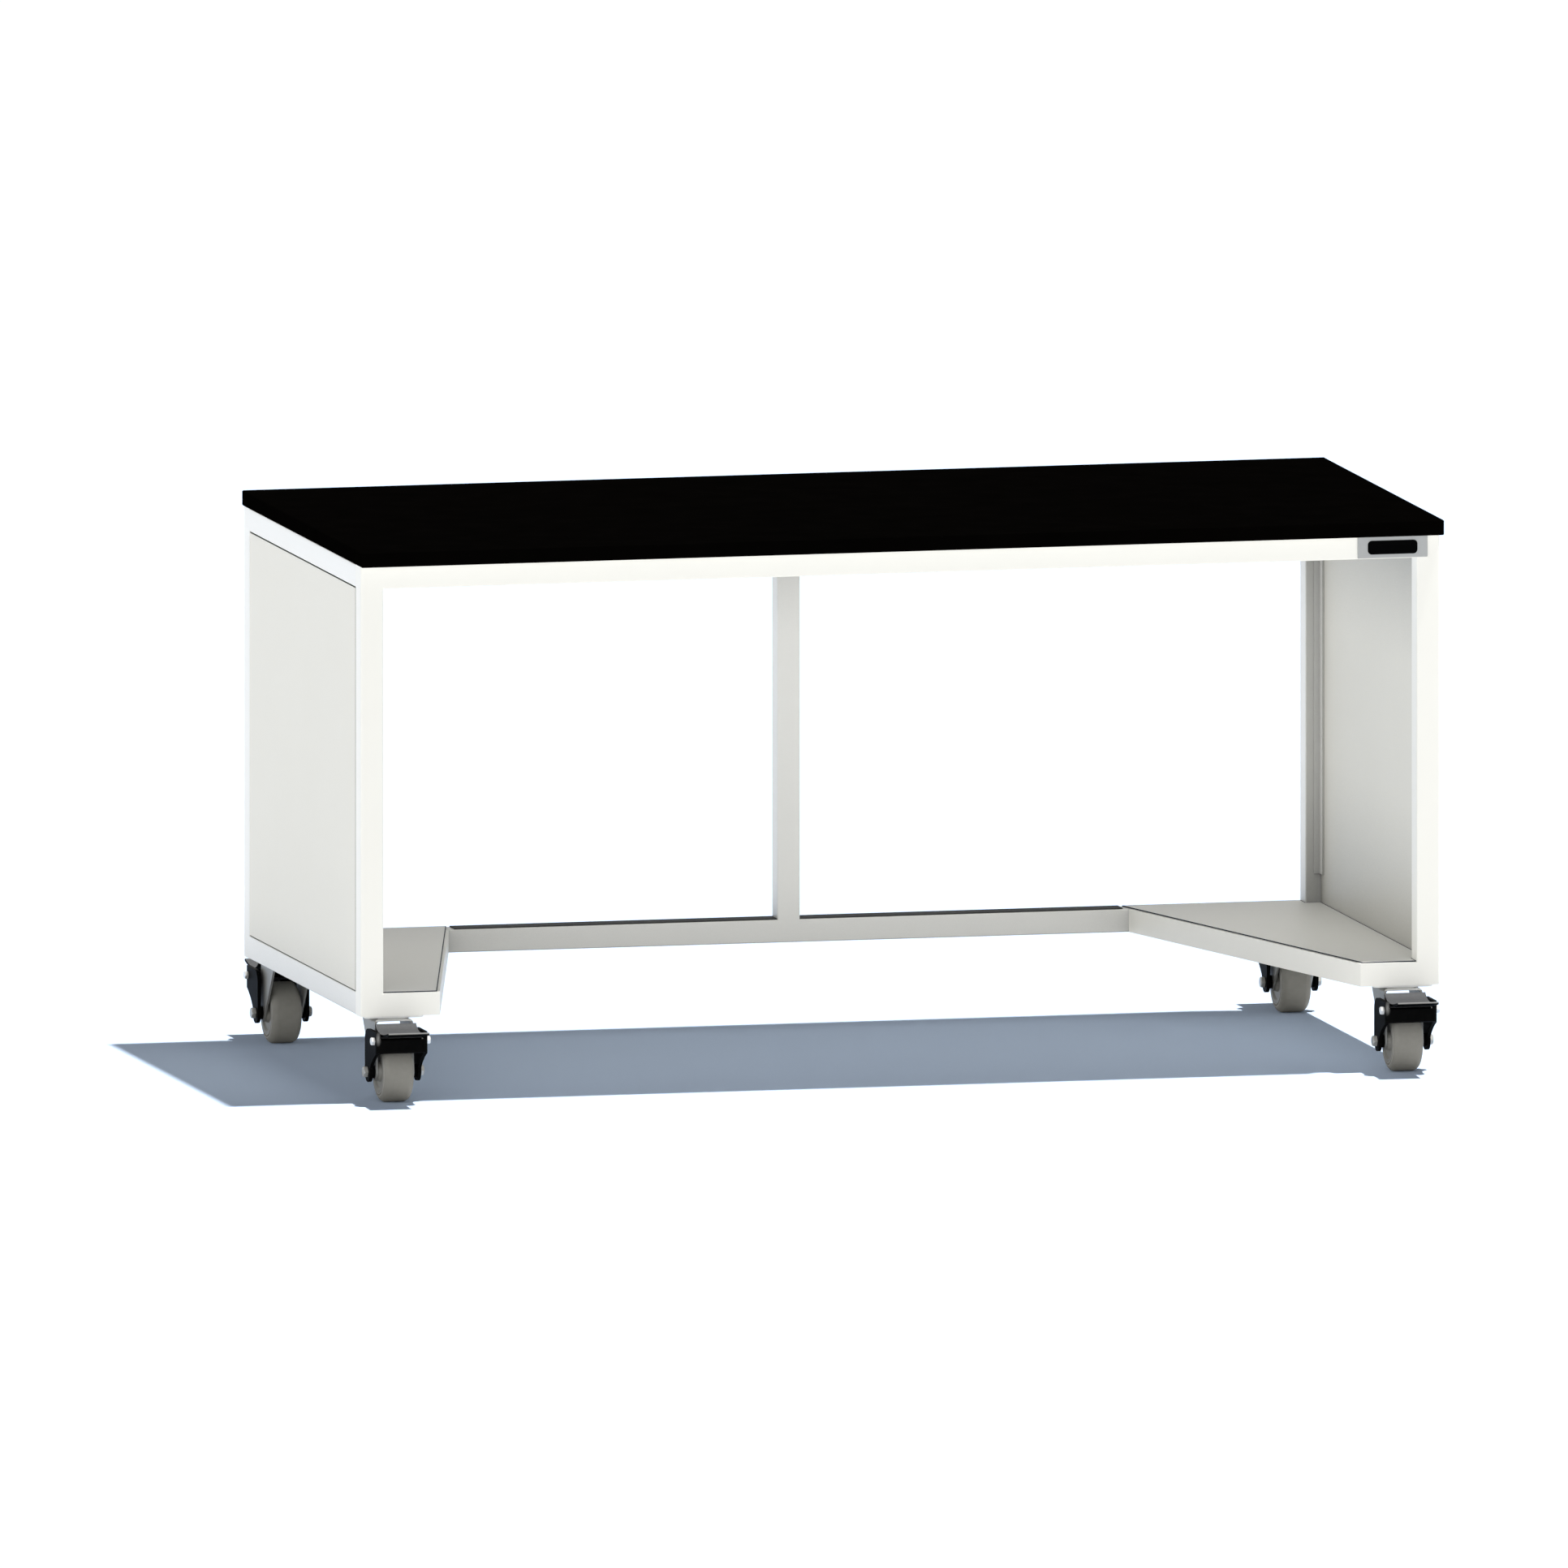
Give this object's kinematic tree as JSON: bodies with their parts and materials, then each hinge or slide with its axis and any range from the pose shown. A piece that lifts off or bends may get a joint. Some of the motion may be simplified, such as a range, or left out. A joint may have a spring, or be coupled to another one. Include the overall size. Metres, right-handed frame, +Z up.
{
  "type": "lab bench",
  "caption": "Mobile laboratory bench: black worktop on a white square-tube frame with open bays, corner decks, side panels and swivel casters that have foot brakes.",
  "frame": {"origin": "on the floor, under the middle of the frame", "axes": "+X to the right along the front, +Y to the rear, +Z up"},
  "size_m": [1.8288, 1.0092, 0.9144],
  "materials": {
    "worktop_resin": "matte",
    "frame_paint": "satin",
    "panel_board": "laminate, satin",
    "strip_rubber": "matte",
    "plate_metal": "brushed",
    "caster_zinc": "zinc plated",
    "bolt_steel": "bright",
    "tread_rubber": "matte",
    "core_plastic": "matte",
    "brake_plastic": "satin"
  },
  "bodies": {
    "bench": {"worktop": "worktop_resin", "front_left_post": "frame_paint", "front_right_post": "frame_paint", "rear_left_post": "frame_paint", "rear_right_post": "frame_paint", "rear_center_post": "frame_paint", "front_top_rail": "frame_paint", "rear_top_rail": "frame_paint", "left_top_rail": "frame_paint", "right_top_rail": "frame_paint", "left_base_rail": "frame_paint", "right_base_rail": "frame_paint", "rear_base_rail": "frame_paint", "left_foot_rail": "frame_paint", "left_diagonal_rail": "frame_paint", "left_deck": "frame_paint", "left_rear_strip": "strip_rubber", "left_side_panel": "panel_board", "left_front_retainer": "frame_paint", "left_rear_retainer": "frame_paint", "right_foot_rail": "frame_paint", "right_diagonal_rail": "frame_paint", "right_deck": "frame_paint", "right_rear_strip": "strip_rubber", "right_side_panel": "panel_board", "right_front_retainer": "frame_paint", "right_rear_retainer": "frame_paint", "blank_plate": "plate_metal", "front_left_head_plate": "caster_zinc", "front_right_head_plate": "caster_zinc", "rear_left_head_plate": "caster_zinc", "rear_right_head_plate": "caster_zinc"},
    "front_left_swivel": {"front_left_fork": "caster_zinc", "front_left_axle_bolt": "bolt_steel", "front_left_brake_housing": "brake_plastic", "front_left_pivot_bolt": "bolt_steel"},
    "front_left_wheel": {"front_left_tread": "tread_rubber", "front_left_wheel_core": "core_plastic"},
    "front_left_pedal": {"front_left_brake_pedal": "brake_plastic"},
    "front_right_swivel": {"front_right_fork": "caster_zinc", "front_right_axle_bolt": "bolt_steel", "front_right_brake_housing": "brake_plastic", "front_right_pivot_bolt": "bolt_steel"},
    "front_right_wheel": {"front_right_tread": "tread_rubber", "front_right_wheel_core": "core_plastic"},
    "front_right_pedal": {"front_right_brake_pedal": "brake_plastic"},
    "rear_left_swivel": {"rear_left_fork": "caster_zinc", "rear_left_axle_bolt": "bolt_steel", "rear_left_brake_housing": "brake_plastic", "rear_left_pivot_bolt": "bolt_steel"},
    "rear_left_wheel": {"rear_left_tread": "tread_rubber", "rear_left_wheel_core": "core_plastic"},
    "rear_left_pedal": {"rear_left_brake_pedal": "brake_plastic"},
    "rear_right_swivel": {"rear_right_fork": "caster_zinc", "rear_right_axle_bolt": "bolt_steel", "rear_right_brake_housing": "brake_plastic", "rear_right_pivot_bolt": "bolt_steel"},
    "rear_right_wheel": {"rear_right_tread": "tread_rubber", "rear_right_wheel_core": "core_plastic"},
    "rear_right_pedal": {"rear_right_brake_pedal": "brake_plastic"}
  },
  "joints": [
    {"name": "front_left_swivel_turn", "type": "hinge", "parent": "bench", "child": "front_left_swivel", "pos_m": [-0.8527, -0.3546, 0.137], "axis": [0, 0, 1], "continuous": true},
    {"name": "front_left_wheel_roll", "type": "hinge", "parent": "front_left_swivel", "child": "front_left_wheel", "pos_m": [-0.8527, -0.3926, 0.05037], "axis": [1, 0, 0], "continuous": true},
    {"name": "front_left_pedal_press", "type": "hinge", "parent": "front_left_swivel", "child": "front_left_pedal", "pos_m": [-0.8527, -0.4436, 0.1069], "axis": [1, 0, 0], "range_deg": [0, 10]},
    {"name": "front_right_swivel_turn", "type": "hinge", "parent": "bench", "child": "front_right_swivel", "pos_m": [0.8527, -0.3546, 0.137], "axis": [0, 0, 1], "continuous": true},
    {"name": "front_right_wheel_roll", "type": "hinge", "parent": "front_right_swivel", "child": "front_right_wheel", "pos_m": [0.8527, -0.3926, 0.05037], "axis": [1, 0, 0], "continuous": true},
    {"name": "front_right_pedal_press", "type": "hinge", "parent": "front_right_swivel", "child": "front_right_pedal", "pos_m": [0.8527, -0.4436, 0.1069], "axis": [1, 0, 0], "range_deg": [0, 10]},
    {"name": "rear_left_swivel_turn", "type": "hinge", "parent": "bench", "child": "rear_left_swivel", "pos_m": [-0.8527, 0.3546, 0.137], "axis": [0, 0, 1], "continuous": true},
    {"name": "rear_left_wheel_roll", "type": "hinge", "parent": "rear_left_swivel", "child": "rear_left_wheel", "pos_m": [-0.8527, 0.3926, 0.05037], "axis": [1, 0, 0], "continuous": true},
    {"name": "rear_left_pedal_press", "type": "hinge", "parent": "rear_left_swivel", "child": "rear_left_pedal", "pos_m": [-0.8527, 0.4436, 0.1069], "axis": [-1, 0, 0], "range_deg": [0, 10]},
    {"name": "rear_right_swivel_turn", "type": "hinge", "parent": "bench", "child": "rear_right_swivel", "pos_m": [0.8527, 0.3546, 0.137], "axis": [0, 0, 1], "continuous": true},
    {"name": "rear_right_wheel_roll", "type": "hinge", "parent": "rear_right_swivel", "child": "rear_right_wheel", "pos_m": [0.8527, 0.3926, 0.05037], "axis": [1, 0, 0], "continuous": true},
    {"name": "rear_right_pedal_press", "type": "hinge", "parent": "rear_right_swivel", "child": "rear_right_pedal", "pos_m": [0.8527, 0.4436, 0.1069], "axis": [-1, 0, 0], "range_deg": [0, 10]}
  ]
}
